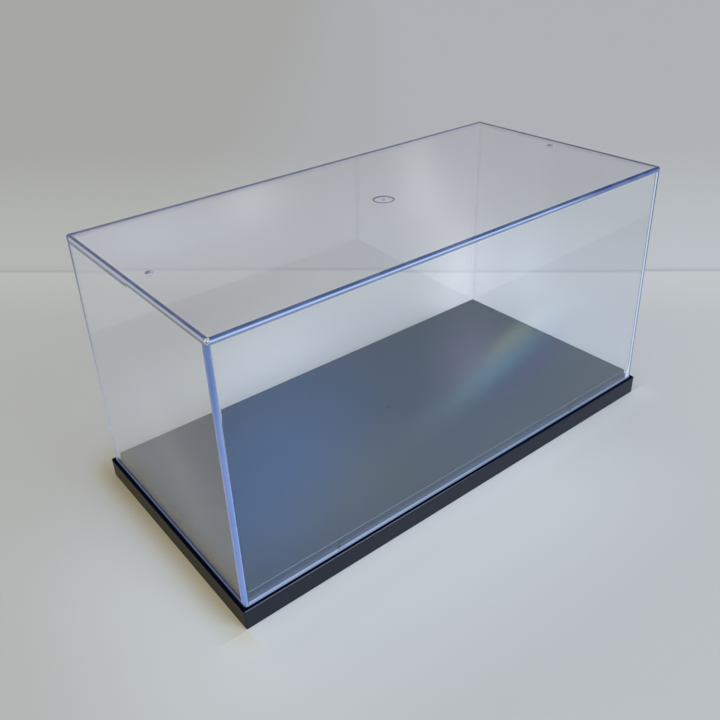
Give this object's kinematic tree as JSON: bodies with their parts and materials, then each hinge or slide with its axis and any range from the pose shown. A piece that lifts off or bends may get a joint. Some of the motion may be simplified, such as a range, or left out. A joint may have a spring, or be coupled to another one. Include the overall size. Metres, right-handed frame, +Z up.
{
  "type": "display case",
  "caption": "Rectangular display case with a clear lift-off cover standing on a black moulded base with a raised platform, for a fossil, model or other collectible.",
  "frame": {"origin": "centre of the base's footprint, on the surface that the case stands on", "axes": "+X along the case's length, +Y from its front long side to its back one, +Z up"},
  "size_m": [0.3048, 0.151, 0.1554],
  "materials": {
    "black_plastic": "moulded black polystyrene, smooth gloss",
    "clear_plastic": "clear moulded polystyrene, polished, faint blue at its edges"
  },
  "bodies": {
    "base": {"base": "black_plastic"},
    "cover": {"clear_cover": "clear_plastic"}
  },
  "joints": [
    {"name": "cover_lift", "type": "slide", "parent": "base", "child": "cover", "axis": [0, 0, 1], "range_m": [0, 0.16]}
  ]
}
